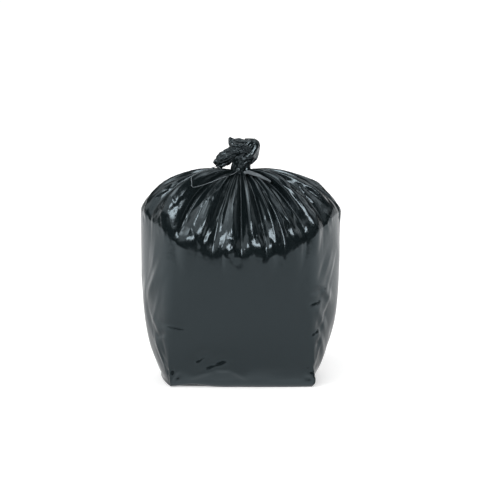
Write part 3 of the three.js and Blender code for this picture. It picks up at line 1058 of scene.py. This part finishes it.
def floor_material():
    """A white floor that takes the sack's shadow.

    It glows a little for the camera, which sees it as white, and in the film's reflections it glows most out
    at the sides and close in front of the foot.
    """
    material, tree, shader = new_material("white_floor")
    calculate = partial(math_node, tree)
    set_inputs(shader, {"Base Color": FLOOR_COLOR, "Roughness": FLOOR_ROUGHNESS, "Emission Color": WHITE})
    place = tree.nodes.new("ShaderNodeNewGeometry")
    axes = tree.nodes.new("ShaderNodeSeparateXYZ")
    tree.links.new(place.outputs["Position"], axes.inputs["Vector"])
    across = calculate("ABSOLUTE", axes.outputs["X"])
    back = axes.outputs["Y"]
    side_gloss = map_range(tree, across, FLOOR_SIDES, (FLOOR_GLOSS, FLOOR_GLOSS + FLOOR_SIDE_GLOSS))
    near_gloss = map_range(tree, back, FLOOR_NEAR, (0, FLOOR_NEAR_GLOSS))
    in_front = calculate("LESS_THAN", back, 0)
    before_foot = calculate("MULTIPLY", calculate("LESS_THAN", across, FLOOR_NEAR_HALF_WIDTH), in_front)
    gloss = calculate("ADD", side_gloss, calculate("MULTIPLY", near_gloss, before_foot))
    path = tree.nodes.new("ShaderNodeLightPath")
    reflected = calculate("ADD", path.outputs["Is Glossy Ray"], path.outputs["Is Transmission Ray"])
    seen = calculate("MULTIPLY", path.outputs["Is Camera Ray"], FLOOR_GLOW)
    glow = calculate("ADD", seen, calculate("MULTIPLY", reflected, gloss))
    tree.links.new(glow, shader.inputs["Emission Strength"])
    return material


# Light and camera.

class WorldLight:
    """A studio painted by direction: a white band behind the object, and soft boxes in the dark."""

    def __init__(self):
        world = bpy.data.worlds.new("studio")
        bpy.context.scene.world = world
        world.use_nodes = True
        self.tree = world.node_tree
        self.math = partial(math_node, self.tree)
        self.background = self.tree.nodes["Background"]
        set_inputs(self.background, {"Color": WHITE})
        self.place = self.tree.nodes.new("ShaderNodeTexCoord")

    def along(self, direction):
        """How far each direction of the world points along a given one."""
        node = self.tree.nodes.new("ShaderNodeVectorMath")
        node.operation = "DOT_PRODUCT"
        node.inputs[1].default_value = direction
        self.tree.links.new(self.place.outputs["Generated"], node.inputs[0])
        return node.outputs["Value"]

    def step(self, value, low, high):
        return map_range(self.tree, value, (low, high), curve="SMOOTHSTEP")

    def low_band(self, front_top, back_top):
        """White up to an elevation, which is lower in front of the object than behind it."""
        up = self.along((0, 0, 1))
        behind = self.step(self.along((0, 1, 0)), *BAND_TURN)
        low, high = (math.sin(math.radians(angle)) for angle in (front_top, back_top))
        top = self.math("ADD", self.math("MULTIPLY", behind, high - low), low)
        past = self.step(self.math("SUBTRACT", up, top), 0, BAND_EDGE)
        return self.math("SUBTRACT", 1, past)

    def soft_box(self, azimuth, elevation, half_width, half_height, strength):
        """A rectangle of light. Azimuth 0 is behind the camera, and grows to the right of the object."""
        az = math.radians(azimuth)
        el = math.radians(elevation)
        centre = (math.sin(az) * math.cos(el), -math.cos(az) * math.cos(el), math.sin(el))
        right = (math.cos(az), math.sin(az), 0)
        up = (-math.sin(az) * math.sin(el), math.cos(az) * math.sin(el), math.cos(el))
        ahead = self.math("MAXIMUM", self.along(centre), LEAST_AHEAD)
        light = strength
        for direction, half in ((right, half_width), (up, half_height)):
            slope = self.math("DIVIDE", self.math("ABSOLUTE", self.along(direction)), ahead)
            limits = [math.tan(math.radians(half)) * share for share in SOFT_EDGE]
            inside = self.math("SUBTRACT", 1, self.step(slope, *limits))
            light = self.math("MULTIPLY", inside, light)
        return light

    def shine(self, parts):
        """Light the world with the sum of its parts, and show it as white to the camera."""
        total = parts[0]
        for part in parts[1:]:
            total = self.math("ADD", total, part)
        path = self.tree.nodes.new("ShaderNodeLightPath")
        direct = self.math("ADD", path.outputs["Is Camera Ray"], path.outputs["Is Transmission Ray"])
        strength = self.math("MAXIMUM", total, direct)
        self.tree.links.new(strength, self.background.inputs["Strength"])


def light_world():
    light = WorldLight()
    band = light.math("ADD", light.low_band(*BAND_TOPS), AMBIENT)
    light.shine([band] + [light.soft_box(*box) for box in SOFT_BOXES])


def add_floor():
    mesh = bpy.data.meshes.new("floor")
    front = [(-FLOOR_SIZE, -FLOOR_FRONT, 0), (FLOOR_SIZE, -FLOOR_FRONT, 0)]
    back = [(FLOOR_SIZE, FLOOR_SIZE, 0), (-FLOOR_SIZE, FLOOR_SIZE, 0)]
    mesh.from_pydata(front + back, [], [(0, 1, 2, 3)])
    mesh.materials.append(floor_material())
    floor = bpy.data.objects.new("floor", mesh)
    bpy.context.collection.objects.link(floor)


def add_camera():
    elevation = math.radians(CAMERA_ELEVATION)
    back = np.array((0, -math.cos(elevation), math.sin(elevation)))
    data = bpy.data.cameras.new("camera")
    data.lens = CAMERA_LENS
    data.sensor_width = CAMERA_SENSOR
    camera = bpy.data.objects.new("camera", data)
    camera.location = np.array(CAMERA_TARGET) + CAMERA_DISTANCE * back
    camera.rotation_euler = (math.pi / 2 - elevation, 0, 0)
    bpy.context.collection.objects.link(camera)
    bpy.context.scene.camera = camera


bpy.context.scene.view_settings.view_transform = "Standard"
add_camera()
light_world()
add_floor()

black_film = film_material("black_film", FILM_COLOR)
# A paler copy of the film for the loose edge and the flap: a painted highlight, not a colour of their own.
film_with_painted_highlight = film_material("film_with_painted_highlight", PAINTED_EDGE_HIGHLIGHT_COLOR)
plan_x, plan_y = wall_plan(1.0)
to_origin = np.array((-(plan_x.min() + plan_x.max()) / 2, -(plan_y.min() + plan_y.max()) / 2, 0))
sack_grid = film_grid()
sack = grid_object("sack_film", sack_grid, black_film, to_origin)
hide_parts("bin_bag")
for piece_name, piece in KNOT.items():
    grid_object(piece_name, knot_grid(*piece), black_film, to_origin)
# The loose edge and the flap wear the painted highlight.
grid_object("loose_edge", loose_edge_grid(sack_grid), film_with_painted_highlight, to_origin)
grid_object("mouth_flap", flap_grid(sack_grid), film_with_painted_highlight, to_origin)
